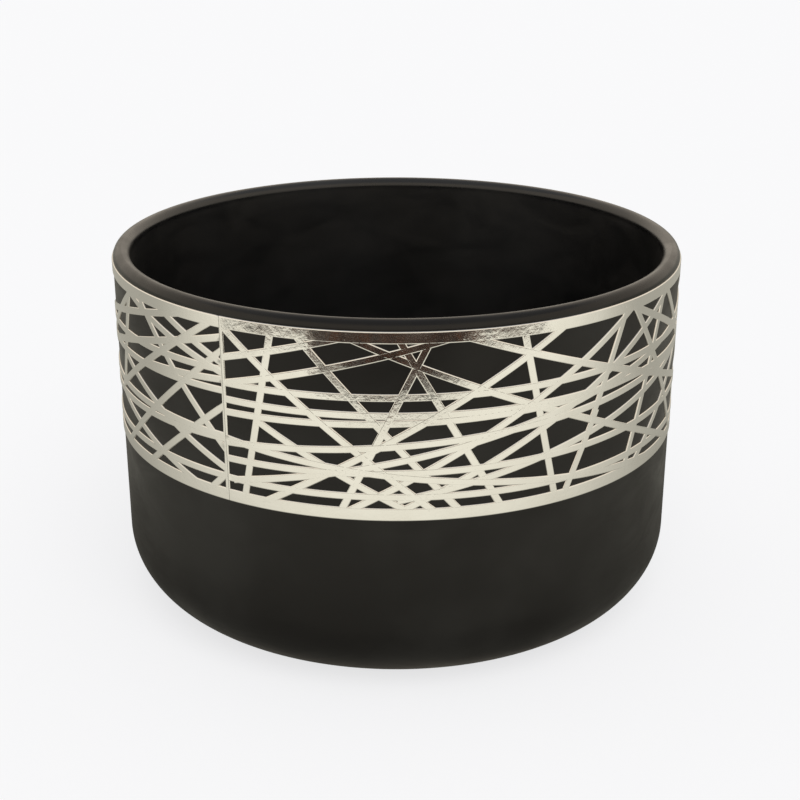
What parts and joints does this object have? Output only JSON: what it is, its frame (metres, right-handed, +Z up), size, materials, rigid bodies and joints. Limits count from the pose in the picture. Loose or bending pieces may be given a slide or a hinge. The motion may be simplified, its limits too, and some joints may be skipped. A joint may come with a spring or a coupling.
{
  "type": "empty candle jar",
  "caption": "Empty black candle jar: a short round straight-sided bowl with a large rounded heel and an openwork silver foil band round its upper half.",
  "frame": {"origin": "centre of the base, on the plane of the bearing ring", "axes": "+Z up along the jar's axis, out of the mouth; -Y is the front; the foil's seam is a little towards -X from the front"},
  "size_m": [0.1, 0.1, 0.064],
  "materials": {
    "glass_vessel": "black pressed glass, bare on the bearing ring and the underside",
    "outer_coat": "satin black sprayed lacquer, smooth, with faint handling marks",
    "inner_coat": "satin black sprayed lacquer on the inside",
    "foil_wrap": "bright silver foil with a warm tint, strokes with rounded raised edges"
  },
  "bodies": {
    "root": {"glass_vessel": "glass_vessel", "outer_coat": "outer_coat", "inner_coat": "inner_coat", "foil_wrap": "foil_wrap"}
  },
  "joints": []
}
